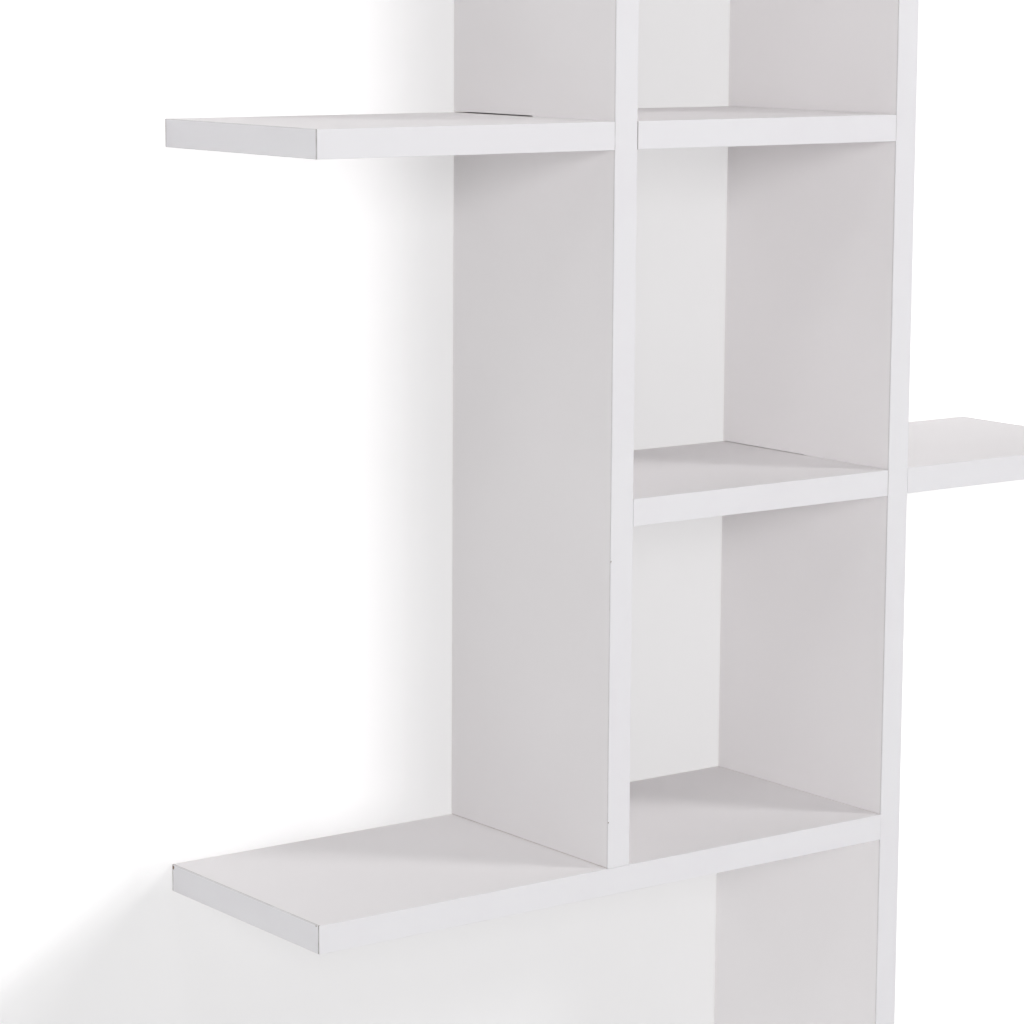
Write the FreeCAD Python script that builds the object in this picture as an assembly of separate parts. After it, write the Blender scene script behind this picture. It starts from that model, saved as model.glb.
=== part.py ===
import FreeCAD, Part
import math
import os

# Wall shelf unit of white boards. Two uprights are crossed by shelves whose arms
# stick out to the left and to the right in turn.
# +Z is up, +X is to the right and the wall is the plane y = 0. The unit stands out
# from the wall towards -Y. The origin is the middle of the four hanger entries.

# Boards
BOARD = 18.0  # thickness of every board
DEPTH = 175.0  # from the wall to the front edge, band included
BAY_WIDTH = 225.0  # clear width between the uprights
CELL_HEIGHT = 225.0  # clear height between neighbouring shelves
ARM_LENGTH = 225.0  # how far a shelf's free arm passes its upright
TAIL_LENGTH = 225.0  # how far an upright's free end passes the last shelf
JOINT_GAP = 0.2  # hairline where a board's end meets a face

# Edge bands
BAND = 0.8
BAND_EASE = 0.4  # rounding of the outer edges
BAND_JOINT = 0.3  # glue line between an end band and the front band

# Half laps
UPPER_LAP_HEADROOM = 0.8  # gap over the upper shelf in the left upright's slot
LOWER_LAP_HEADROOM = 0.4  # gap over the lower shelf in the right upright's slot
LAP_BAY_PLAY = 0.35  # gap in a shelf's slot, on the bay side of the upright
LAP_ARM_PLAY = 0.15  # gap in a shelf's slot, on the arm side of the upright
LAP_END_PLAY = 0.5  # gap between the bottoms of the two slots

# Cam locks
CAM_DIAMETER = 15.0
CAM_SETBACK = 34.0  # from a board's end to the middle of its cam
CAM_SINK = 0.3  # how far the cam's face lies below the board's face
CAM_BASE = 0.9  # wall between the cavity and the cam's inner end
CAM_ECCENTRICITY = 0.6
CAM_RUNNING_GAP = 0.08
CAM_FLOOR_GAP = 0.4
CAM_CHAMFER = 0.4
DRIVER_LENGTH = 7.5  # cross recess in the cam's face, arm to arm
DRIVER_WIDTH = 1.7
DRIVER_DEPTH = 3.2
MARK_LENGTH = 2.0  # pointer beside the rim
MARK_WIDTH = 2.4
MARK_DEPTH = 0.4
MARK_INSET = 0.6

# Cam bolts
BALL_DIAMETER = 6.6
BALL_OFFSET = 1.3  # from the cam's axis towards the joint
BALL_SEAT_GAP = 0.2
BALL_SIDE_ROOM = 0.3
BALL_ENTRY_ROOM = 0.5
NECK_DIAMETER = 4.2
NECK_ROOM = 0.5
SHANK_DIAMETER = 7.0
SHANK_ROOM = 0.5
SHANK_CAM_ROOM = 1.2
THREAD_DIAMETER = 6.2
THREAD_ROOT = 4.6
THREAD_PITCH = 1.8
THREAD_TURNS = 6
THREAD_HOLE_GAP = 0.05
THREAD_END_ROOM = 0.6

# Dowels
DOWEL_DIAMETER = 8.0
DOWEL_LENGTH = 30.0
DOWEL_IN_FACE = 10.5  # length of a dowel that stands in the face it meets
DOWEL_SPREAD = 100.0  # between the two dowels of a joint
DOWEL_GAP = 0.05
DOWEL_END_ROOM = 0.5
DOWEL_CHAMFER = 0.8
DOWEL_FLUTES = 12
FLUTE_DIAMETER = 0.7

# Hanger plates
HANGER_SPACING = 500.0  # between the upper and the lower hanger entries
PLATE_WIDTH = 14.0
PLATE_LENGTH = 50.0
PLATE_THICKNESS = 1.5
PLATE_GAP = 0.15
PLATE_CHAMFER = 0.25
KEYHOLE_ENTRY = 9.0  # diameter that lets the wall screw's head in
KEYHOLE_SLOT = 4.8  # width that holds the wall screw's shank
KEYHOLE_RISE = 10.0  # from the entry up to where the wall screw sits
POCKET_ROOM = 1.0  # around the entry, behind the plate
POCKET_DEPTH = 10.0

# Hanger screws
SCREW_INSET = 6.0  # from the plate's end to the screw
SCREW_LENGTH = 16.0
SCREW_DIAMETER = 3.4
SCREW_ROOT = 2.5
SCREW_PITCH = 1.2
SCREW_TURNS = 9
SCREW_HEAD = 6.4
SCREW_GAP = 0.05
SCREW_RECESS_LENGTH = 3.2
SCREW_RECESS_WIDTH = 0.8
SCREW_RECESS_DEPTH = 1.2

# Levels and places that follow from the sizes above
PITCH = CELL_HEIGHT + BOARD
FACE = BAY_WIDTH / 2  # bay face of either upright
OUTER = FACE + BOARD  # outer face of either upright
MID_UPRIGHT = FACE + BOARD / 2
ARM_END = OUTER + ARM_LENGTH
LOWER_TOP = -CELL_HEIGHT / 2
UPPER_TOP = LOWER_TOP + PITCH
BOTTOM_TOP = LOWER_TOP - PITCH
TOP_TOP = UPPER_TOP + PITCH
TAIL_END = TOP_TOP + TAIL_LENGTH
CORE_FRONT = -DEPTH + BAND
MID_DEPTH = -DEPTH / 2
LAP_BOTTOM_IN_SHELF = MID_DEPTH + LAP_END_PLAY / 2
LAP_BOTTOM_IN_UPRIGHT = MID_DEPTH - LAP_END_PLAY / 2

CAM_RADIUS = CAM_DIAMETER / 2
CAM_CENTRE = CAM_SETBACK + JOINT_GAP
BALL = BALL_DIAMETER / 2
NECK = NECK_DIAMETER / 2
CAVITY = BALL_OFFSET + BALL + BALL_SEAT_GAP + CAM_ECCENTRICITY
CAVITY_HALF = BALL + BALL_SIDE_ROOM
CAM_FACE = BOARD / 2 - CAM_SINK
CAM_INNER = -(CAVITY_HALF + CAM_BASE)
THREAD_LENGTH = THREAD_PITCH * THREAD_TURNS
DOWEL_ROWS = (-DOWEL_SPREAD / 2, DOWEL_SPREAD / 2)

PLATE_MIDDLE = KEYHOLE_RISE / 2  # above the entry
SCREW_RISE = PLATE_LENGTH / 2 - SCREW_INSET
SCREW_LEVELS = (PLATE_MIDDLE - SCREW_RISE, PLATE_MIDDLE + SCREW_RISE)

LEFT, RIGHT = -1, 1
SHELF_TOPS = {
    "shelf_bottom": BOTTOM_TOP,
    "shelf_lower": LOWER_TOP,
    "shelf_upper": UPPER_TOP,
    "shelf_top": TOP_TOP,
}
ARM_SIDES = {
    "shelf_bottom": LEFT,
    "shelf_lower": RIGHT,
    "shelf_upper": LEFT,
    "shelf_top": RIGHT,
}
LAPPED_SHELVES = ("shelf_lower", "shelf_upper")
UPRIGHT_SIDES = {"upright_left": LEFT, "upright_right": RIGHT}

CUT = 1.0  # how far a cutting tool runs past the face that it opens
TOUCH = 1e-6  # lengths below this count as none
HALF_TURN = 180
FULL_TURN = 360
AXIS_X = FreeCAD.Vector(1, 0, 0)
AXIS_Y = FreeCAD.Vector(0, 1, 0)
AXIS_Z = FreeCAD.Vector(0, 0, 1)
ORIGIN = FreeCAD.Vector(0, 0, 0)


# Shapes used all over


def point(x, y, z):
    return FreeCAD.Vector(x, y, z)


def block(x_ends, y_ends, z_ends):
    """Box between two ends along each axis, given in either order."""
    low = point(min(x_ends), min(y_ends), min(z_ends))
    size = point(max(x_ends), max(y_ends), max(z_ends)) - low
    return Part.makeBox(size.x, size.y, size.z, low)


def rod(radius, start, direction, length):
    return Part.makeCylinder(radius, length, start, direction)


def turned(profile, axis):
    """Solid of revolution about axis from (distance along axis, radius) pairs."""
    outline = [axis * along + AXIS_Z * radius for along, radius in profile]
    outline.append(outline[0])
    face = Part.Face(Part.makePolygon(outline))
    return face.revolve(ORIGIN, axis, FULL_TURN)


def thread_ridges(start, pitch, turns, root, crest):
    """Ridges of a thread as (distance, radius) pairs, from start along pitch's sign."""
    pairs = []
    for turn in range(turns):
        valley = start + turn * pitch
        pairs.append((valley, root))
        pairs.append((valley + pitch / 2, crest))
    pairs.append((start + turns * pitch, root))
    return pairs


def cross_recess(length, width, depth):
    """Two crossed slots, cut downwards from the plane z = 0 at the origin."""
    long_ends = (-length / 2, length / 2)
    short_ends = (-width / 2, width / 2)
    depth_ends = (-depth, CUT)
    slot = block(long_ends, short_ends, depth_ends)
    return slot.fuse(block(short_ends, long_ends, depth_ends))


def round_edges(solid):
    return [edge for edge in solid.Edges if edge.Closed]


def placed(shape, frame):
    copy = shape.copy()
    copy.Placement = frame.multiply(copy.Placement)
    return copy


def moved(shape, place):
    return placed(shape, FreeCAD.Placement(place, FreeCAD.Rotation()))


# Edge bands


def eased_band(x_ends, y_ends, z_ends, is_eased):
    """Band with those edges rounded whose middle passes the is_eased test."""
    band = block(x_ends, y_ends, z_ends)
    edges = [edge for edge in band.Edges if is_eased(edge.CenterOfMass)]
    return band.makeFillet(BAND_EASE, edges)


def shelf_front_strip(x_ends, top, free_end):
    """Band on a stretch of a shelf's front edge; free_end is the end that shows."""

    def is_eased(middle):
        on_front = abs(middle.y + DEPTH) < TOUCH
        along = abs(middle.x - sum(x_ends) / 2) < TOUCH
        return on_front and (along or abs(middle.x - free_end) < TOUCH)

    return eased_band(x_ends, (-DEPTH, CORE_FRONT), (top - BOARD, top), is_eased)


def shelf_front_band(shelf):
    """A lapped shelf's band is cut in two by the upright that crosses it."""
    side = ARM_SIDES[shelf]
    top = SHELF_TOPS[shelf]
    free_end = side * ARM_END
    met_end = -side * (FACE - JOINT_GAP)
    if shelf not in LAPPED_SHELVES:
        return shelf_front_strip((free_end, met_end), top, free_end)
    arm = (free_end, side * (OUTER + LAP_ARM_PLAY))
    bay = (side * (FACE - LAP_BAY_PLAY), met_end)
    strips = [shelf_front_strip(ends, top, free_end) for ends in (arm, bay)]
    return Part.makeCompound(strips)


def shelf_end_band(shelf):
    """Band on the free end of a shelf's arm."""
    side = ARM_SIDES[shelf]
    top = SHELF_TOPS[shelf]
    x_ends = (side * (ARM_END - BAND), side * ARM_END)

    def is_eased(middle):
        on_end = abs(middle.x - side * ARM_END) < TOUCH
        return on_end and abs(middle.z - (top - BOARD / 2)) > TOUCH

    return eased_band(x_ends, (CORE_FRONT + BAND_JOINT, 0), (top - BOARD, top), is_eased)


def upright_ends(side, free_end):
    """The left upright stands on the bottom shelf, the right one hangs below the top."""
    met_end = -side * (BOTTOM_TOP + JOINT_GAP)
    return (met_end, -side * free_end)


def upright_front_band(side):
    z_ends = upright_ends(side, TAIL_END)

    def is_eased(middle):
        on_front = abs(middle.y + DEPTH) < TOUCH
        along = abs(middle.z - sum(z_ends) / 2) < TOUCH
        return on_front and (along or abs(middle.z + side * TAIL_END) < TOUCH)

    return eased_band(
        (side * FACE, side * OUTER), (-DEPTH, CORE_FRONT), z_ends, is_eased
    )


def upright_end_band(side):
    """Band on an upright's free end: above on the left, below on the right."""
    z_ends = (-side * (TAIL_END - BAND), -side * TAIL_END)

    def is_eased(middle):
        on_end = abs(middle.z + side * TAIL_END) < TOUCH
        return on_end and abs(middle.x - side * MID_UPRIGHT) > TOUCH

    return eased_band(
        (side * FACE, side * OUTER), (CORE_FRONT + BAND_JOINT, 0), z_ends, is_eased
    )


# Fittings of a butt joint, made in the joint's own frame: X runs from the face that is
# met into the board whose end meets it, Y along the joint and Z out of the cam's bore.


def joint_frame(place, into, out):
    rotation = FreeCAD.Rotation(into, out.cross(into), out, "ZXY")
    return FreeCAD.Placement(place, rotation)


def butt_joints():
    """Frame of each joint, under the name of the board whose end meets a face."""
    joints = {}
    for shelf, top in SHELF_TOPS.items():
        side = ARM_SIDES[shelf]
        met_face = point(-side * FACE, MID_DEPTH, top - BOARD / 2)
        joints[shelf] = joint_frame(met_face, AXIS_X * side, AXIS_Z * -1)
    for upright, side in UPRIGHT_SIDES.items():
        met_face = point(side * MID_UPRIGHT, MID_DEPTH, -side * BOTTOM_TOP)
        joints[upright] = joint_frame(met_face, AXIS_Z * -side, AXIS_X * -side)
    return joints


def cam_lock():
    """Cam with an off-centre cavity for the bolt's ball, drawn locked."""
    centre = point(CAM_CENTRE, 0, 0)
    reach = CAM_RADIUS + CUT
    cam = rod(CAM_RADIUS, centre + AXIS_Z * CAM_INNER, AXIS_Z, CAM_FACE - CAM_INNER)
    cam = cam.makeChamfer(CAM_CHAMFER, round_edges(cam))

    cavity_foot = centre + point(CAM_ECCENTRICITY, 0, -CAVITY_HALF)
    cavity = rod(CAVITY, cavity_foot, AXIS_Z, 2 * CAVITY_HALF)
    ball_entry = rod(BALL + BALL_ENTRY_ROOM, centre, AXIS_X, reach)

    # The neck's way through the wall is half a turn, and the neck's width at each end
    half = NECK + NECK_ROOM
    neck_foot = centre - AXIS_Z * half
    neck_way = Part.makeCylinder(reach, 2 * half, neck_foot, AXIS_Z, HALF_TURN)
    neck_ends = block((-reach, reach), (-half, half), (-half, half))
    neck_ends = moved(neck_ends, centre)

    face_middle = centre + AXIS_Z * CAM_FACE
    recess = cross_recess(DRIVER_LENGTH, DRIVER_WIDTH, DRIVER_DEPTH)
    recess = moved(recess, face_middle)
    tip = face_middle + AXIS_X * (CAM_RADIUS - CAM_CHAMFER - MARK_INSET)
    back = tip - AXIS_X * MARK_LENGTH
    side = AXIS_Y * (MARK_WIDTH / 2)
    mark = Part.Face(Part.makePolygon([tip, back + side, back - side, tip]))
    mark = mark.extrude(AXIS_Z * -MARK_DEPTH)
    return cam.cut([cavity, ball_entry, neck_way, neck_ends, recess, mark])


def cam_bore():
    floor = CAM_INNER - CAM_FLOOR_GAP
    height = BOARD / 2 + CUT - floor
    return rod(CAM_RADIUS + CAM_RUNNING_GAP, point(CAM_CENTRE, 0, floor), AXIS_Z, height)


def cam_bolt():
    """Thread in the face that is met, plain shank, thin neck and ball in the cam."""
    shank = SHANK_DIAMETER / 2
    shank_end = CAM_CENTRE - CAM_RADIUS - SHANK_CAM_ROOM
    ball_middle = CAM_CENTRE - BALL_OFFSET
    profile = [(ball_middle, 0), (ball_middle, NECK)]
    profile += [(shank_end + shank - NECK, NECK), (shank_end, shank), (0, shank)]
    profile += thread_ridges(
        0, -THREAD_PITCH, THREAD_TURNS, THREAD_ROOT / 2, THREAD_DIAMETER / 2
    )
    profile.append((-THREAD_LENGTH, 0))
    return turned(profile, AXIS_X).fuse(Part.makeSphere(BALL, point(ball_middle, 0, 0)))


def shank_bore():
    return rod(SHANK_DIAMETER / 2 + SHANK_ROOM, ORIGIN, AXIS_X, CAM_CENTRE)


def thread_hole():
    depth = THREAD_LENGTH + THREAD_END_ROOM
    radius = THREAD_DIAMETER / 2 + THREAD_HOLE_GAP
    return rod(radius, point(-depth, 0, 0), AXIS_X, depth + CUT)


def dowel(row):
    """Fluted pin with chamfered ends."""
    radius = DOWEL_DIAMETER / 2
    start = point(-DOWEL_IN_FACE, row, 0)
    pin = rod(radius, start, AXIS_X, DOWEL_LENGTH)
    pin = pin.makeChamfer(DOWEL_CHAMFER, round_edges(pin))
    flutes = []
    for step in range(DOWEL_FLUTES):
        angle = 2 * math.pi * step / DOWEL_FLUTES
        offset = point(0, radius * math.cos(angle), radius * math.sin(angle))
        flutes.append(rod(FLUTE_DIAMETER / 2, start + offset, AXIS_X, DOWEL_LENGTH))
    return pin.cut(flutes)


def dowel_bore(row):
    start = point(-DOWEL_IN_FACE - DOWEL_END_ROOM, row, 0)
    length = DOWEL_LENGTH + 2 * DOWEL_END_ROOM
    return rod(DOWEL_DIAMETER / 2 + DOWEL_GAP, start, AXIS_X, length)


def joint_cuts():
    """All bores of all butt joints, to be cut from every board that they reach."""
    tools = [cam_bore(), shank_bore(), thread_hole()]
    tools += [dowel_bore(row) for row in DOWEL_ROWS]
    return [placed(tool, frame) for frame in butt_joints().values() for tool in tools]


# Hangers, made with the middle of the keyhole's entry at the origin


def hanger_places():
    places = {}
    for level, sign in (("lower", -1), ("upper", 1)):
        for upright, side in (("left", LEFT), ("right", RIGHT)):
            place = point(side * MID_UPRIGHT, 0, sign * HANGER_SPACING / 2)
            places[level + "_" + upright] = place
    return places


def long_hole(width, low, high, y_ends):
    """Slot along Z with round ends, whose middles are at the heights low and high."""
    radius = width / 2
    start, end = y_ends
    tools = [rod(radius, point(0, start, z), AXIS_Y, end - start) for z in (low, high)]
    web = block((-radius, radius), y_ends, (low, high))
    return web.fuse(tools).removeSplitter()


def plate_outline(gap, y_ends):
    rise = (PLATE_LENGTH - PLATE_WIDTH) / 2
    width = PLATE_WIDTH + 2 * gap
    return long_hole(width, PLATE_MIDDLE - rise, PLATE_MIDDLE + rise, y_ends)


def screw_holes():
    """Countersunk holes through the plate and into the upright."""
    head = SCREW_HEAD / 2 + SCREW_GAP
    shank = SCREW_DIAMETER / 2 + SCREW_GAP
    depth = SCREW_LENGTH + SCREW_GAP
    profile = [(-CUT, 0), (-CUT, head), (0, head), (head - shank, shank)]
    profile += [(depth, shank), (depth, 0)]
    hole = turned(profile, AXIS_Y * -1)
    return [moved(hole, AXIS_Z * level) for level in SCREW_LEVELS]


def hanger_plate():
    plate = plate_outline(0, (-PLATE_THICKNESS, 0))
    rim = [edge for edge in plate.Edges if abs(edge.CenterOfMass.y) < TOUCH]
    plate = plate.makeChamfer(PLATE_CHAMFER, rim)
    entry_start = point(0, -PLATE_THICKNESS - CUT, 0)
    entry = rod(KEYHOLE_ENTRY / 2, entry_start, AXIS_Y, PLATE_THICKNESS + 2 * CUT)
    slot = long_hole(KEYHOLE_SLOT, 0, KEYHOLE_RISE, (entry_start.y, CUT))
    return plate.cut([entry, slot] + screw_holes())


def hanger_cuts():
    """Seat of the plate, pocket for the wall screw's head, and the screws' holes."""
    seat = plate_outline(PLATE_GAP, (-PLATE_THICKNESS, CUT))
    pocket_width = KEYHOLE_ENTRY + 2 * POCKET_ROOM
    pocket = long_hole(pocket_width, 0, KEYHOLE_RISE, (-POCKET_DEPTH, CUT))
    cuts = [seat, pocket] + screw_holes()
    return [moved(cut, place) for place in hanger_places().values() for cut in cuts]


def hanger_screw():
    head = SCREW_HEAD / 2
    crest = SCREW_DIAMETER / 2
    profile = [(0, 0), (0, head), (head - crest, crest)]
    profile += thread_ridges(
        head - crest + SCREW_PITCH / 2, SCREW_PITCH, SCREW_TURNS, SCREW_ROOT / 2, crest
    )
    profile.append((SCREW_LENGTH, 0))
    screw = turned(profile, AXIS_Y * -1)
    recess = cross_recess(SCREW_RECESS_LENGTH, SCREW_RECESS_WIDTH, SCREW_RECESS_DEPTH)
    facing_wall = FreeCAD.Placement(ORIGIN, FreeCAD.Rotation(AXIS_Z, AXIS_Y))
    return screw.cut(placed(recess, facing_wall))


# Boards


def shelf_slot(shelf):
    """Slot from the front edge, around the upright that crosses this shelf."""
    side = ARM_SIDES[shelf]
    top = SHELF_TOPS[shelf]
    return block(
        (side * (OUTER + LAP_ARM_PLAY), side * (FACE - LAP_BAY_PLAY)),
        (-DEPTH - CUT, LAP_BOTTOM_IN_SHELF),
        (top - BOARD - CUT, top + CUT),
    )


def upright_slots():
    """Slots from the rear edges, around the shelves that cross the uprights."""
    slots = []
    for side, top, headroom in (
        (LEFT, UPPER_TOP, UPPER_LAP_HEADROOM),
        (RIGHT, LOWER_TOP, LOWER_LAP_HEADROOM),
    ):
        x_ends = (side * (FACE - CUT), side * (OUTER + CUT))
        z_ends = (top - BOARD, top + headroom)
        slots.append(block(x_ends, (LAP_BOTTOM_IN_UPRIGHT, CUT), z_ends))
    return slots


def shelf_board(shelf, cuts):
    side = ARM_SIDES[shelf]
    top = SHELF_TOPS[shelf]
    x_ends = (side * (ARM_END - BAND), -side * (FACE - JOINT_GAP))
    board = block(x_ends, (CORE_FRONT, 0), (top - BOARD, top))
    if shelf in LAPPED_SHELVES:
        cuts = cuts + [shelf_slot(shelf)]
    return board.cut(cuts)


def upright_board(side, cuts):
    z_ends = upright_ends(side, TAIL_END - BAND)
    return block((side * FACE, side * OUTER), (CORE_FRONT, 0), z_ends).cut(cuts)


# The whole unit


def board_nodes():
    nodes = {}
    cuts = joint_cuts()
    for shelf in SHELF_TOPS:
        nodes[shelf] = shelf_board(shelf, cuts)
        nodes[shelf + "_front_band"] = shelf_front_band(shelf)
        nodes[shelf + "_end_band"] = shelf_end_band(shelf)
    cuts = cuts + hanger_cuts() + upright_slots()
    for upright, side in UPRIGHT_SIDES.items():
        nodes[upright] = upright_board(side, cuts)
        nodes[upright + "_front_band"] = upright_front_band(side)
        nodes[upright + "_end_band"] = upright_end_band(side)
    return nodes


def fitting_nodes():
    nodes = {}
    cam = cam_lock()
    bolt = cam_bolt()
    pins = [dowel(row) for row in DOWEL_ROWS]
    bolts = []
    dowels = []
    for board, frame in butt_joints().items():
        nodes["cam_lock_" + board] = placed(cam, frame)
        bolts.append(placed(bolt, frame))
        dowels += [placed(pin, frame) for pin in pins]
    nodes["cam_bolts"] = Part.makeCompound(bolts)
    nodes["dowels"] = Part.makeCompound(dowels)
    return nodes


def hanger_nodes():
    nodes = {}
    plate = hanger_plate()
    screw = hanger_screw()
    screws = []
    for corner, place in hanger_places().items():
        nodes["hanger_plate_" + corner] = moved(plate, place)
        screws += [moved(screw, place + AXIS_Z * level) for level in SCREW_LEVELS]
    nodes["hanger_screws"] = Part.makeCompound(screws)
    return nodes


os.makedirs("parts", exist_ok=True)
unit = board_nodes()
unit.update(fitting_nodes())
unit.update(hanger_nodes())
for node, shape in unit.items():
    shape.exportStep("parts/" + node + ".step")
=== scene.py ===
import math

import bmesh
import bpy
from mathutils import Matrix, Vector


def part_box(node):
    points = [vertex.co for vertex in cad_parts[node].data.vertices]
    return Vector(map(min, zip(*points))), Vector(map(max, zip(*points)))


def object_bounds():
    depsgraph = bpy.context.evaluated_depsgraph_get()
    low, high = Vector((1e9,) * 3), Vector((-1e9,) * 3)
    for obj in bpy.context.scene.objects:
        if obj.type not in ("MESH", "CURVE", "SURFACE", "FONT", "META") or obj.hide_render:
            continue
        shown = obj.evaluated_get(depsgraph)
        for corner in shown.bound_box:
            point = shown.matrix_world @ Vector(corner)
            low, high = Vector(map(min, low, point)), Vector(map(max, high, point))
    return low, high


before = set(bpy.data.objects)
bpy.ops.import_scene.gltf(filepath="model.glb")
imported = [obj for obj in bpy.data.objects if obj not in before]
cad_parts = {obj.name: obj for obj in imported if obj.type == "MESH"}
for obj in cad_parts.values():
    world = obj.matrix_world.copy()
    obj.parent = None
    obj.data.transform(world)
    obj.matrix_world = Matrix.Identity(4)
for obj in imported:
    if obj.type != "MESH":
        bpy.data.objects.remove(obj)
CAD_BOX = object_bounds()

MM = 0.001
WHITE = (1, 1, 1, 1)

SHELVES = ("shelf_bottom", "shelf_lower", "shelf_upper", "shelf_top")
UPRIGHTS = ("upright_left", "upright_right")
BOARDS = SHELVES + UPRIGHTS
HANGERS = ("lower_left", "lower_right", "upper_left", "upper_right")

# Colours, as linear red, green and blue
MELAMINE_WHITE = (0.903, 0.880, 0.888, 1)
MELAMINE_SHADE = (0.889, 0.865, 0.873, 1)
BAND_WHITE = (0.866, 0.856, 0.878, 1)
BAND_SHADE = (0.852, 0.832, 0.862, 1)
GLUE_LINE = (0.42, 0.37, 0.34, 1)
SAWN_ARRIS = (0.40, 0.32, 0.26, 1)
# Dark brown of the seams and glue lines, also used for painted shade lines
SEAM_AND_SHADE_BROWN = (0.16, 0.11, 0.085, 1)
CHIP_BROWN = (0.20, 0.13, 0.09, 1)
FLAKE_COLOURS = (
    (0.00, (0.220, 0.135, 0.070, 1)),
    (0.25, (0.420, 0.285, 0.160, 1)),
    (0.55, (0.560, 0.400, 0.245, 1)),
    (0.80, (0.660, 0.500, 0.330, 1)),
    (1.00, (0.760, 0.630, 0.450, 1)),
)
FLAKE_GAP = (0.150, 0.092, 0.052, 1)
ZINC = (0.46, 0.46, 0.47, 1)
ZINC_DARK = (0.30, 0.30, 0.31, 1)
STEEL = (0.66, 0.66, 0.67, 1)
STEEL_DARK = (0.50, 0.51, 0.53, 1)
BEECH = (0.62, 0.43, 0.26, 1)
BEECH_DARK = (0.46, 0.29, 0.16, 1)
WALL_WHITE = (0.90, 0.90, 0.90, 1)
WALL_SEEN = (0.45, 0.45, 0.45, 1)  # what the camera sees of the light on the wall
WALL_GLOW = (1.0, 0.985, 0.992, 1)
FLOOR_WHITE = (0.82, 0.82, 0.82, 1)
FLOOR_SEEN = (0.16, 0.16, 0.16, 1)  # and of the light on the floor

# White faces and edge bands. Pairs of edges say which part of a noise makes the effect,
# pairs of roughness belong to a clean place and to a smudged or dull one.
SKIN = 0.25 * MM  # melamine layer on a board's faces
SKIN_TEAR = 0.20 * MM  # how far the saw tore into it
TEAR_GRAIN = 2 * MM
PEARL_GRAIN = 0.7 * MM
PEARL_HEIGHT = 0.006 * MM
CLOUD = 140 * MM  # slow change of tone over a board
CLOUD_EDGES = (0.3, 0.7)
SMUDGE = 35 * MM
SMUDGE_EDGES = (0.45, 0.75)
MELAMINE_SPECULAR = 0.2
MELAMINE_ROUGHNESS = (0.64, 0.74)
BAND_SPECULAR = 0.35
BAND_ROUGHNESS = (0.48, 0.56)
BAND_SMUDGES = 0.5  # share of smudges in a band's change of tone; the rest is clouds

# Glue lines, seams, sawn edges, and painted shade lines
LINE_WIDTH = 0.35 * MM
LINE_FADE = (0.5, 1.5)  # from its middle, in widths, a line fades between these
LINE_OVERLAP = LINE_WIDTH / 4  # how far a line may reach past the edge it follows
LINE_BREAKS = 9 * MM  # length over which a line grows weak and strong
BREAK_EDGES = (0.2, 0.6)
LINE_WEAKEST = 0.5  # share of its strength that a line keeps where it is weak
GLUE_ON_UPRIGHT, GLUE_ON_SHELF = 0.65, 0.12  # strength of the glue line at the front
GLUE_AT_END = 0.55  # and at a board's free end
ARRIS_AT_JOINT = 0.45  # strength of the sawn edge at a butted end
WALL_GAP_SHADE = 0.6  # strength of the painted shade where an end band's rear end meets the wall
WALL_GAP_SHADE_WIDTH = 0.8 * MM
SEAM = 1.0  # strength of the dark seam between an end band and the front band
SEAM_WIDTH = 0.45 * MM
EDGE_SHADE_LINE = 0.25  # strength of the painted shade lines along the long edges of a shelf's end band

# Small chips in the edge bands: band, a corner of it (0 low, 1 high, along X, Y and Z),
# how far the chip lies from that corner in mm, radius in mm
CHIPS = (
    ("shelf_bottom_end_band", (0, 1, 1), (0, -1.0, -2.0), 1.6),
    ("shelf_bottom_end_band", (0, 0, 1), (0, 2.7, -0.8), 0.75),
    ("upright_left_front_band", (0, 0, 0), (0, 0, 203.5), 0.8),
    ("upright_left_front_band", (0, 0, 0), (0, 0, 30.7), 0.75),
)
CHIP_RIM = 0.4 * MM  # width over which a chip fades out
CHIP_RAGGED = 1 * MM  # how much the noise may take off a chip's radius
CHIP_GRAIN = 0.8 * MM

# Painted shade in the narrow gaps at the cut ends of the front bands: shelf, upright that
# the band stops at, the band's side of it (-1 left, 1 right), gap in mm, strength
GAP_SHADE_LINES = (
    ("shelf_upper", "upright_right", -1, 0.20, 0.45),
    ("shelf_upper", "upright_left", 1, 0.35, 0.40),
    ("shelf_upper", "upright_left", -1, 0.15, 0.55),
    ("shelf_lower", "upright_right", -1, 0.35, 0.50),
)

# Raw chipboard
FLAKE_CORE = 2.6 * MM
FLAKE_FACE = 1.0 * MM
FLAKE_LAYER = 0.6  # where the fine outer layer starts, from the middle to the face
FLAKE_FLATNESS = 2.6  # how much longer a flake is than it is thick
FLAKE_HEIGHT = 0.12 * MM
FLAKE_GAP_EDGES = (0.50, 0.72)  # distance from a flake's middle, in flakes
RAW_ROUGHNESS = 0.9

# Metal and wood
CAST_GRAIN = 0.35 * MM
CAST_HEIGHT = 0.02 * MM
ZINC_ROUGHNESS = (0.42, 0.58)
BRUSH_GRAIN = 0.25 * MM
BRUSH_HEIGHT = 0.006 * MM
STEEL_ROUGHNESS = (0.28, 0.42)
DULL_PATCH = 4 * MM
DULL_EDGES = (0.35, 0.7)
BEECH_RING = 3 * MM
RING_EDGES = (0.35, 0.65)
BEECH_FLECK = 0.6 * MM
FLECK_EDGES = (0.55, 0.7)
BEECH_ROUGHNESS = (0.6, 0.75)

# Camera, for a square picture
CAMERA_PLACE = Vector((-1412.4, -1784.5, 213.9)) * MM
CAMERA_YAW = math.radians(36.75)
CAMERA_PITCH = math.radians(8.31)
CAMERA_ROLL = math.radians(0.34)
CAMERA_SENSOR = 36
CAMERA_LENS = 113.94
CAMERA_SHIFT = -0.0498

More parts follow.
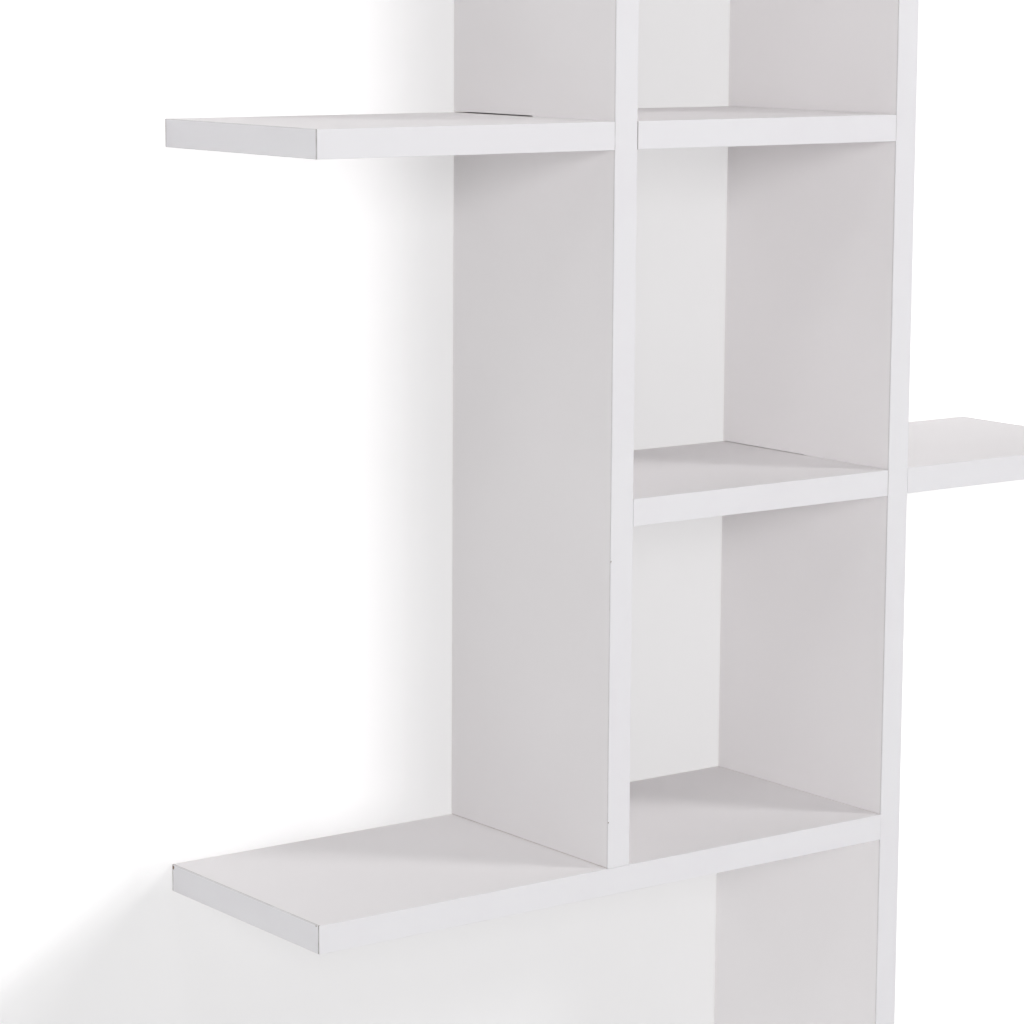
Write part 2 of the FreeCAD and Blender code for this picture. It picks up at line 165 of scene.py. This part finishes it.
# Room
WALL_GAP = 0.5 * MM
NEAR_WALL = 3 * MM  # light that starts closer than this passes through the wall
FLOOR_LEVEL = -1.2
ROOM = 7.0  # half the wall's width, and its height
FLOOR_REACH = 60.0
FLOOR_CLOUD = 0.8
FLOOR_LIFT = 0.76  # what the floor adds for the camera

# What the wall adds for the camera; less of it near the unit paints soft shade and shadow
# there
BAY_LIFT = 0.467  # behind and below the unit, painted shade
STRIP_LIFT = 0.455  # close to the left upright, a painted shade strip
PAPER_LIFT = 0.775  # further out, to read as white paper
LEFT_FADE = (4.5 * MM, 107 * MM)  # strip to paper, out from the left upright
RIGHT_FADE = (69.5 * MM, 189.5 * MM)  # bay to paper, out from the right upright
LEVEL_FADE = (-23.5 * MM, 31.5 * MM)  # below to beside the unit, up from the bottom shelf
CREST_FADE = (26.5 * MM, 86.5 * MM)  # to paper, up from the top shelf
FOOT_FADE = (1.5 * MM, 301.5 * MM)  # to paper, down from the unit's lowest end
SLANT_START = 26.5 * MM  # this far out from the bottom shelf's end, the level falls, so the painted shade slants down like the arm's shadow
SLANT = 0.57  # by this much for each length

# Light
AMBIENT = 0.295
AMBIENT_BEHIND = 0.80
BEHIND_EDGES = (0.0, 0.2)  # where one turns into the other, as a direction's Y
LAMPS = {  # azimuth, elevation, distance, size, share of plain full light
    "key": (42, 26, 5.0, 1.2, 0.32),
    "fill": (-36, 11, 4.5, 0.9, 0.226),
    "top": (-25, 57, 3.5, 1.2, 0.107),
    "bay": (-50, 2, 4.5, 0.9, 0.116),
}
FLAGGED_LAMPS = {"bay": "upright_right"}  # lamps that light one board only


# Shader tools

# The Mix node has a pair of inputs and an output for each kind of data
VALUE_INPUTS, VALUE_OUTPUT = (2, 3), 0
COLOUR_INPUTS, COLOUR_OUTPUT = (6, 7), 2


def feed(tree, socket, value):
    """Links an output to the socket, or sets the socket to a plain value."""
    if isinstance(value, bpy.types.NodeSocket):
        tree.links.new(value, socket)
    else:
        socket.default_value = value


def add(tree, kind, inputs=None, **settings):
    """New shader node with its settings made and its inputs fed."""
    node = tree.nodes.new("ShaderNode" + kind)
    for setting, value in settings.items():
        setattr(node, setting, value)
    for socket, value in (inputs or {}).items():
        feed(tree, node.inputs[socket], value)
    return node


def math_node(tree, operation, *values):
    return add(tree, "Math", dict(enumerate(values)), operation=operation).outputs[0]


def mix_colours(tree, factor, first, second):
    inputs = {"Factor": factor, **dict(zip(COLOUR_INPUTS, (first, second)))}
    return add(tree, "Mix", inputs, data_type="RGBA").outputs[COLOUR_OUTPUT]


def mix_values(tree, factor, first, second):
    inputs = {"Factor": factor, **dict(zip(VALUE_INPUTS, (first, second)))}
    return add(tree, "Mix", inputs).outputs[VALUE_OUTPUT]


def ramp(tree, factor, stops):
    node = add(tree, "ValToRGB", {"Fac": factor})
    elements = node.color_ramp.elements
    while len(elements) < len(stops):
        elements.new(1)
    for element, (position, colour) in zip(elements, stops):
        element.position = position
        element.color = colour
    return node.outputs["Color"]


def step_between(tree, value, low, high):
    """Smooth step from 0 at low to 1 at high."""
    inputs = {"Value": value, "From Min": low, "From Max": high}
    node = add(tree, "MapRange", inputs, interpolation_type="SMOOTHSTEP")
    return node.outputs["Result"]


def scale_for(tree, size):
    """Texture scale that gives the size, which is a number or a socket."""
    if isinstance(size, bpy.types.NodeSocket):
        return math_node(tree, "DIVIDE", 1.0, size)
    return 1 / size


def noise(tree, vector, size, detail=2.0, roughness=0.5):
    inputs = {
        "Vector": vector,
        "Scale": scale_for(tree, size),
        "Detail": detail,
        "Roughness": roughness,
    }
    return add(tree, "TexNoise", inputs).outputs["Fac"]


def axes_of(tree, place):
    """Separate X, Y and Z of a place."""
    return add(tree, "SeparateXYZ", {"Vector": place}).outputs


def new_group(name, inputs, outputs):
    """Empty node group; inputs and outputs map socket names to Float, Color or Vector."""
    group = bpy.data.node_groups.new(name, "ShaderNodeTree")
    for sockets, direction in ((inputs, "INPUT"), (outputs, "OUTPUT")):
        for socket, kind in sockets.items():
            group.interface.new_socket(
                socket, in_out=direction, socket_type="NodeSocket" + kind
            )
    entry = group.nodes.new("NodeGroupInput").outputs
    leave = group.nodes.new("NodeGroupOutput").inputs
    return group, entry, leave


def use_group(tree, group, inputs):
    node = tree.nodes.new("ShaderNodeGroup")
    node.node_tree = group
    for socket, value in inputs.items():
        feed(tree, node.inputs[socket], value)
    return node.outputs


def new_material(name):
    material = bpy.data.materials.new(name)
    material.use_nodes = True
    tree = material.node_tree
    place = add(tree, "TexCoord").outputs["Object"]
    return material, tree, tree.nodes["Principled BSDF"], place


def raise_surface(tree, shader, height):
    """Bumps the shader's surface by a height in metres."""
    bump = add(tree, "Bump", {"Height": height, "Strength": 1.0, "Distance": 1.0})
    feed(tree, shader.inputs["Normal"], bump.outputs["Normal"])


# Finishes that several materials share


def pearl_finish():
    """Fine press-plate grain of a white plastic surface, with slow clouds and smudges."""
    group, entry, leave = new_group(
        "Pearl finish",
        {"Vector": "Vector", "Grain": "Float"},
        {"Height": "Float", "Cloud": "Float", "Smudge": "Float"},
    )
    feed(group, leave["Height"], noise(group, entry["Vector"], entry["Grain"], detail=1.0))
    cloud = noise(group, entry["Vector"], CLOUD, detail=1.0)
    feed(group, leave["Cloud"], step_between(group, cloud, *CLOUD_EDGES))
    smudge = noise(group, entry["Vector"], SMUDGE, detail=3.0, roughness=0.6)
    feed(group, leave["Smudge"], step_between(group, smudge, *SMUDGE_EDGES))
    return group


def chip_flakes():
    """Sawn chipboard: pressed flakes with dark gaps between them."""
    group, entry, leave = new_group(
        "Chip flakes",
        {"Vector": "Vector", "Flake": "Float"},
        {"Color": "Color", "Height": "Float"},
    )
    scale = scale_for(group, entry["Flake"])
    cells = add(group, "TexVoronoi", {"Vector": entry["Vector"], "Scale": scale})
    shade = add(group, "SeparateColor", {"Color": cells.outputs["Color"]})
    colour = ramp(group, shade.outputs["Red"], FLAKE_COLOURS)
    gap = step_between(group, cells.outputs["Distance"], *FLAKE_GAP_EDGES)
    feed(group, leave["Color"], mix_colours(group, gap, colour, FLAKE_GAP))
    solid = math_node(group, "SUBTRACT", 1.0, gap)
    height = math_node(group, "MULTIPLY", shade.outputs["Green"], solid)
    feed(group, leave["Height"], height)
    return group


def metal_grain():
    """Fine grain and dull patches on a metal surface."""
    group, entry, leave = new_group(
        "Metal grain",
        {"Vector": "Vector", "Grain": "Float"},
        {"Height": "Float", "Dull": "Float"},
    )
    feed(group, leave["Height"], noise(group, entry["Vector"], entry["Grain"]))
    dull = noise(group, entry["Vector"], DULL_PATCH, detail=4.0)
    feed(group, leave["Dull"], step_between(group, dull, *DULL_EDGES))
    return group


# Places on the boards


def board_ends(board):
    """Axis along a board, its end that meets another board, and its free end."""
    low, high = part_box(board)
    axis = "X" if board in SHELVES else "Z"
    ends = (low.x, high.x) if board in SHELVES else (low.z, high.z)
    return axis, min(ends, key=abs), max(ends, key=abs)


def board_thickness(board):
    """Axis across a board, the middle of its thickness, and half of it."""
    axis = "Z" if board in SHELVES else "X"
    low, high = (corner["XYZ".index(axis)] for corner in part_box(board))
    return axis, (low + high) / 2, (high - low) / 2


def box_corner(node, picks):
    """Corner of a node's box; 0 picks its low end along an axis and 1 its high end."""
    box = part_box(node)
    return Vector([box[pick][number] for number, pick in enumerate(picks)])


# Materials


def edge_line(tree, place, distance, edge, strength, width=LINE_WIDTH):
    """Thin uneven line along an edge; distance is measured along the axis across it."""
    apart = math_node(tree, "ABSOLUTE", math_node(tree, "SUBTRACT", distance, edge))
    clear = step_between(tree, apart, *(width * share for share in LINE_FADE))
    breaks = noise(tree, place, LINE_BREAKS, detail=1.0)
    breaks = step_between(tree, breaks, *BREAK_EDGES)
    broken = mix_values(tree, breaks, strength * LINE_WEAKEST, strength)
    return math_node(tree, "MULTIPLY", broken, math_node(tree, "SUBTRACT", 1.0, clear))


def board_lines(tree, board, place, position, face):
    """Sawn edge at the butted end, glue lines at the free end and at the front."""
    along, met_end, free_end = board_ends(board)
    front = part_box(board)[0].y
    glue = GLUE_ON_SHELF if board in SHELVES else GLUE_ON_UPRIGHT
    for axis, edge, colour, strength in (
        (along, met_end, SAWN_ARRIS, ARRIS_AT_JOINT),
        (along, free_end, SEAM_AND_SHADE_BROWN, GLUE_AT_END),
        ("Y", front, GLUE_LINE, glue),
    ):
        line = edge_line(tree, place, position[axis], edge, strength)
        face = mix_colours(tree, line, face, colour)
    return face


def board_material(board, pearl, flakes):
    """White melamine on the two faces, raw chipboard wherever the board was cut."""
    material, tree, shader, place = new_material("melamine_" + board)
    position = axes_of(tree, place)
    axis, middle, half = board_thickness(board)
    across = math_node(tree, "SUBTRACT", position[axis], middle)
    across = math_node(tree, "ABSOLUTE", across)
    tear = math_node(tree, "MULTIPLY", noise(tree, place, TEAR_GRAIN), SKIN_TEAR)
    depth = math_node(tree, "ADD", math_node(tree, "SUBTRACT", half, across), tear)
    is_face = math_node(tree, "LESS_THAN", depth, SKIN)

    squash = [1.0, 1.0, 1.0]
    squash["XYZ".index(axis)] = FLAKE_FLATNESS
    flat = add(tree, "Mapping", {"Vector": place, "Scale": squash}).outputs["Vector"]
    is_fine = math_node(tree, "GREATER_THAN", across, half * FLAKE_LAYER)
    flake = mix_values(tree, is_fine, FLAKE_CORE, FLAKE_FACE)
    raw = use_group(tree, flakes, {"Vector": flat, "Flake": flake})
    white = use_group(tree, pearl, {"Vector": place, "Grain": PEARL_GRAIN})

    face = mix_colours(tree, white["Cloud"], MELAMINE_WHITE, MELAMINE_SHADE)
    face = board_lines(tree, board, place, position, face)
    feed(tree, shader.inputs["Base Color"], mix_colours(tree, is_face, raw["Color"], face))
    satin = mix_values(tree, white["Smudge"], *MELAMINE_ROUGHNESS)
    roughness = mix_values(tree, is_face, RAW_ROUGHNESS, satin)
    feed(tree, shader.inputs["Roughness"], roughness)
    shader.inputs["Specular IOR Level"].default_value = MELAMINE_SPECULAR
    raw_height = math_node(tree, "MULTIPLY", raw["Height"], FLAKE_HEIGHT)
    face_height = math_node(tree, "MULTIPLY", white["Height"], PEARL_HEIGHT)
    raise_surface(tree, shader, mix_values(tree, is_face, raw_height, face_height))
    return material


def chip_bands(tree, place, colour):
    """Tiny chips in the bands, which show brown."""
    ragged = math_node(tree, "MULTIPLY", noise(tree, place, CHIP_GRAIN), CHIP_RAGGED)
    for band, corner, offset, radius in CHIPS:
        chip = box_corner(band, corner) + Vector(offset) * MM
        apart = add(tree, "VectorMath", {0: place, 1: chip}, operation="DISTANCE")
        apart = math_node(tree, "ADD", apart.outputs["Value"], ragged)
        clear = step_between(tree, apart, radius * MM, radius * MM + CHIP_RIM)
        colour = mix_colours(tree, clear, CHIP_BROWN, colour)
    return colour


def line_end_bands(tree, place, position, colour):
    """Dark seam at the front, painted shade where the band meets the wall, and painted
    shade lines along the long edges on the shelves.
    """
    front, rear = (corner.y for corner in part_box("shelf_bottom_end_band"))
    behind_front = math_node(tree, "GREATER_THAN", position["Y"], front - LINE_OVERLAP)
    seam = edge_line(tree, place, position["Y"], front, SEAM, SEAM_WIDTH)
    seam = math_node(tree, "MULTIPLY", seam, behind_front)
    colour = mix_colours(tree, seam, colour, SEAM_AND_SHADE_BROWN)
    # Painted shade of the gap between the end band's rear end and the wall
    wall_shade_line = edge_line(
        tree, place, position["Y"], rear, WALL_GAP_SHADE, WALL_GAP_SHADE_WIDTH
    )
    colour = mix_colours(tree, wall_shade_line, colour, SEAM_AND_SHADE_BROWN)
    # Painted shade lines along the long edges of each shelf's end band
    for shelf in SHELVES:
        axis, middle, half = board_thickness(shelf)
        across = math_node(tree, "SUBTRACT", position[axis], middle)
        across = math_node(tree, "ABSOLUTE", across)
        edge_shade = edge_line(tree, place, across, half, EDGE_SHADE_LINE)
        edge_shade = math_node(tree, "MULTIPLY", edge_shade, behind_front)
        colour = mix_colours(tree, edge_shade, colour, SEAM_AND_SHADE_BROWN)
    return colour


def line_gap_shades(tree, place, position, colour):
    """Painted shade in the gap where a shelf's front band stops at an upright."""
    for shelf, upright, side, gap, strength in GAP_SHADE_LINES:
        bottom, top = (corner.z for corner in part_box(shelf))
        left, right = (corner.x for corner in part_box(upright))
        cut = right + gap * MM if side > 0 else left - gap * MM
        from_cut = math_node(tree, "SUBTRACT", position["X"], cut)
        from_cut = math_node(tree, "MULTIPLY", from_cut, side)
        on_band = math_node(tree, "GREATER_THAN", from_cut, -LINE_OVERLAP)
        above = math_node(tree, "GREATER_THAN", position["Z"], bottom)
        below = math_node(tree, "LESS_THAN", position["Z"], top)
        # Painted shade in the narrow gap beside the upright
        line = edge_line(tree, place, position["X"], cut, strength)
        for limit in (on_band, above, below):
            line = math_node(tree, "MULTIPLY", line, limit)
        colour = mix_colours(tree, line, colour, SEAM_AND_SHADE_BROWN)
    return colour


def band_material(pearl):
    """Satin plastic band with a few chips, dark seams, and painted shade lines at its edges
    and ends.
    """
    material, tree, shader, place = new_material("edge_band")
    position = axes_of(tree, place)
    white = use_group(tree, pearl, {"Vector": place, "Grain": PEARL_GRAIN})
    uneven = mix_values(tree, BAND_SMUDGES, white["Cloud"], white["Smudge"])
    colour = mix_colours(tree, uneven, BAND_WHITE, BAND_SHADE)
    colour = chip_bands(tree, place, colour)
    colour = line_end_bands(tree, place, position, colour)
    colour = line_gap_shades(tree, place, position, colour)
    feed(tree, shader.inputs["Base Color"], colour)
    roughness = mix_values(tree, white["Smudge"], *BAND_ROUGHNESS)
    feed(tree, shader.inputs["Roughness"], roughness)
    shader.inputs["Specular IOR Level"].default_value = BAND_SPECULAR
    height = math_node(tree, "MULTIPLY", white["Height"], PEARL_HEIGHT)
    raise_surface(tree, shader, height)
    return material


def metal_material(name, grain_group, grain, height, colours, roughness):
    """Bare metal; colours and roughness go from bright to dull places."""
    material, tree, shader, place = new_material(name)
    grains = use_group(tree, grain_group, {"Vector": place, "Grain": grain})
    feed(tree, shader.inputs["Base Color"], mix_colours(tree, grains["Dull"], *colours))
    feed(tree, shader.inputs["Roughness"], mix_values(tree, grains["Dull"], *roughness))
    shader.inputs["Metallic"].default_value = 1.0
    raise_surface(tree, shader, math_node(tree, "MULTIPLY", grains["Height"], height))
    return material


def beech_material():
    """Bare beech with short dark flecks."""
    material, tree, shader, place = new_material("beech")
    rings = noise(tree, place, BEECH_RING, detail=3.0)
    dark_rings = step_between(tree, rings, *RING_EDGES)
    flecks = step_between(tree, noise(tree, place, BEECH_FLECK), *FLECK_EDGES)
    colour = mix_colours(tree, dark_rings, BEECH, BEECH_DARK)
    colour = mix_colours(tree, flecks, colour, BEECH_DARK)
    feed(tree, shader.inputs["Base Color"], colour)
    feed(tree, shader.inputs["Roughness"], mix_values(tree, rings, *BEECH_ROUGHNESS))
    return material


def finish_nodes():
    """Gives every CAD node its material."""
    pearl = pearl_finish()
    flakes = chip_flakes()
    grain = metal_grain()
    band = band_material(pearl)
    zinc = metal_material(
        "die_cast_zinc", grain, CAST_GRAIN, CAST_HEIGHT, (ZINC, ZINC_DARK), ZINC_ROUGHNESS
    )
    steel = metal_material(
        "plated_steel",
        grain,
        BRUSH_GRAIN,
        BRUSH_HEIGHT,
        (STEEL, STEEL_DARK),
        STEEL_ROUGHNESS,
    )
    finishes = {"cam_bolts": steel, "hanger_screws": steel, "dowels": beech_material()}
    for board in BOARDS:
        finishes[board] = board_material(board, pearl, flakes)
        finishes[board + "_front_band"] = band
        finishes[board + "_end_band"] = band
        finishes["cam_lock_" + board] = zinc
    for corner in HANGERS:
        finishes["hanger_plate_" + corner] = steel
    for node, material in finishes.items():
        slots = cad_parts[node].data.materials
        slots.clear()
        slots.append(material)


# Room


def plain_sheet(name, corners, material):
    mesh = bpy.data.meshes.new(name)
    shape = bmesh.new()
    shape.faces.new([shape.verts.new(corner) for corner in corners])
    shape.to_mesh(mesh)
    shape.free()
    sheet = bpy.data.objects.new(name, mesh)
    sheet.data.materials.append(material)
    bpy.context.scene.collection.objects.link(sheet)


def seen_rays(tree, path):
    """Mask of the rays that show the backdrop: to the camera, and in reflections."""
    return math_node(tree, "MAXIMUM", path["Is Camera Ray"], path["Is Glossy Ray"])


def wall_lift(tree, place):
    """White paper beside the unit, with painted shade behind and below it, next to the left
    upright, and slanting down from the bottom arm.
    """
    position = axes_of(tree, place)
    outer_left, inner_left = (corner.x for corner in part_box("upright_left"))
    outer_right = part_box("upright_right")[1].x
    arm_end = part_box("shelf_bottom_end_band")[0].x
    arm_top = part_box("shelf_bottom")[1].z
    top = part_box("shelf_top")[1].z

    from_left = math_node(tree, "SUBTRACT", outer_left, position["X"])
    left = step_between(tree, from_left, *LEFT_FADE)
    from_right = math_node(tree, "SUBTRACT", position["X"], outer_right)
    right = step_between(tree, from_right, *RIGHT_FADE)
    past_arm = math_node(tree, "SUBTRACT", arm_end - SLANT_START, position["X"])
    past_arm = math_node(tree, "MAXIMUM", past_arm, 0.0)
    fall = math_node(tree, "MULTIPLY", past_arm, SLANT)
    height = math_node(tree, "SUBTRACT", position["Z"], arm_top)
    level = step_between(tree, math_node(tree, "ADD", height, fall), *LEVEL_FADE)
    crest = math_node(tree, "SUBTRACT", position["Z"], top)
    crest = step_between(tree, crest, *CREST_FADE)
    foot = math_node(tree, "SUBTRACT", CAD_BOX[0].z, position["Z"])
    foot = step_between(tree, foot, *FOOT_FADE)

    # Less lift here paints the unit's shade and shadow on the wall
    is_left = math_node(tree, "LESS_THAN", position["X"], (outer_left + inner_left) / 2)
    inner = mix_values(tree, right, BAY_LIFT, PAPER_LIFT)
    outer = mix_values(tree, left, STRIP_LIFT, PAPER_LIFT)
    beside = mix_values(tree, is_left, inner, outer)
    lift = mix_values(tree, level, inner, beside)
    beyond = math_node(tree, "MAXIMUM", crest, foot)
    return mix_values(tree, beyond, lift, PAPER_LIFT)


def open_from_behind(tree, shader, path, near=0.0):
    """Shows the shader from its front only, and not to light that starts this near."""
    close = math_node(tree, "LESS_THAN", path["Ray Length"], near)
    unseen = math_node(tree, "SUBTRACT", 1.0, path["Is Camera Ray"])
    close = math_node(tree, "MULTIPLY", close, unseen)
    behind = add(tree, "NewGeometry").outputs["Backfacing"]
    clear = add(tree, "BsdfTransparent").outputs["BSDF"]
    passes = math_node(tree, "MAXIMUM", close, behind)
    mixed = add(tree, "MixShader", {0: passes, 1: shader.outputs["BSDF"], 2: clear})
    feed(tree, tree.nodes["Material Output"].inputs["Surface"], mixed.outputs["Shader"])


def matt_paint(name, glow):
    """Paint without gloss; glow is the colour of what it adds for the camera."""
    material, tree, shader, place = new_material(name)
    shader.inputs["Roughness"].default_value = 1.0
    shader.inputs["Specular IOR Level"].default_value = 0.0
    shader.inputs["Emission Color"].default_value = glow
    return material, tree, shader, place


def wall_material():
    """White paint that reads as white paper."""
    material, tree, shader, place = matt_paint("wall_paint", WALL_GLOW)
    path = add(tree, "LightPath").outputs
    shown = seen_rays(tree, path)
    colour = mix_colours(tree, shown, WALL_WHITE, WALL_SEEN)
    feed(tree, shader.inputs["Base Color"], colour)
    lift = math_node(tree, "MULTIPLY", shown, wall_lift(tree, place))
    feed(tree, shader.inputs["Emission Strength"], lift)
    open_from_behind(tree, shader, path, NEAR_WALL)
    return material


def floor_material():
    """Pale paint, evenly bright to the camera."""
    material, tree, shader, place = matt_paint("floor_paint", WHITE)
    path = add(tree, "LightPath").outputs
    shown = seen_rays(tree, path)
    colour = mix_colours(tree, noise(tree, place, FLOOR_CLOUD), FLOOR_WHITE, WALL_WHITE)
    colour = mix_colours(tree, shown, colour, FLOOR_SEEN)
    feed(tree, shader.inputs["Base Color"], colour)
    lift = math_node(tree, "MULTIPLY", shown, FLOOR_LIFT)
    feed(tree, shader.inputs["Emission Strength"], lift)
    open_from_behind(tree, shader, path)
    return material


def build_room():
    wall_corners = (
        (-ROOM, WALL_GAP, FLOOR_LEVEL),
        (ROOM, WALL_GAP, FLOOR_LEVEL),
        (ROOM, WALL_GAP, ROOM),
        (-ROOM, WALL_GAP, ROOM),
    )
    plain_sheet("wall", wall_corners, wall_material())
    floor_corners = (
        (-FLOOR_REACH, -FLOOR_REACH, FLOOR_LEVEL),
        (FLOOR_REACH, -FLOOR_REACH, FLOOR_LEVEL),
        (FLOOR_REACH, FLOOR_REACH, FLOOR_LEVEL),
        (-FLOOR_REACH, FLOOR_REACH, FLOOR_LEVEL),
    )
    plain_sheet("floor", floor_corners, floor_material())


# Light and camera


def build_world():
    """Even light from all round, and white where the camera looks past the room."""
    world = bpy.data.worlds.new("studio")
    world.use_nodes = True
    tree = world.node_tree
    direction = add(tree, "TexCoord").outputs["Generated"]
    behind = step_between(tree, axes_of(tree, direction)["Y"], *BEHIND_EDGES)
    even = mix_values(tree, behind, AMBIENT, AMBIENT_BEHIND)
    shown = seen_rays(tree, add(tree, "LightPath").outputs)
    background = tree.nodes["Background"].inputs
    background["Color"].default_value = WHITE
    feed(tree, background["Strength"], mix_values(tree, shown, even, 1.0))
    bpy.context.scene.world = world


def add_lamp(name, place, target, size, share):
    """Round soft lamp whose light, at its target, is this share of plain full light."""
    lamp = bpy.data.lights.new(name, "AREA")
    lamp.shape = "DISK"
    lamp.size = size
    reach = target - place
    lamp.energy = share * (math.pi * reach.length) ** 2
    holder = bpy.data.objects.new(name, lamp)
    holder.location = place
    holder.rotation_euler = reach.to_track_quat("-Z", "Y").to_euler()
    holder.visible_camera = False
    bpy.context.scene.collection.objects.link(holder)
    return holder


def build_lamps():
    middle = (CAD_BOX[0] + CAD_BOX[1]) / 2
    for name, (azimuth, elevation, distance, size, share) in LAMPS.items():
        turn = Matrix.Rotation(math.radians(azimuth), 3, "Z")
        lean = Matrix.Rotation(math.radians(-elevation), 3, "X")
        away = turn @ lean @ Vector((0, -distance, 0))
        lamp = add_lamp(name, middle + away, middle, size, share)
        if name in FLAGGED_LAMPS:
            lit = bpy.data.collections.new(name + "_lamp_lights")
            lit.objects.link(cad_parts[FLAGGED_LAMPS[name]])
            lamp.light_linking.receiver_collection = lit


def build_camera():
    camera = bpy.data.cameras.new("camera")
    camera.sensor_width = CAMERA_SENSOR
    camera.lens = CAMERA_LENS
    camera.shift_y = CAMERA_SHIFT
    holder = bpy.data.objects.new("camera", camera)
    holder.matrix_world = (
        Matrix.Translation(CAMERA_PLACE)
        @ Matrix.Rotation(-CAMERA_YAW, 4, "Z")
        @ Matrix.Rotation(math.pi / 2 - CAMERA_PITCH, 4, "X")
        @ Matrix.Rotation(CAMERA_ROLL, 4, "Z")
    )
    bpy.context.scene.collection.objects.link(holder)
    bpy.context.scene.camera = holder


finish_nodes()
build_room()
build_world()
build_lamps()
build_camera()
bpy.context.scene.view_settings.view_transform = "Standard"
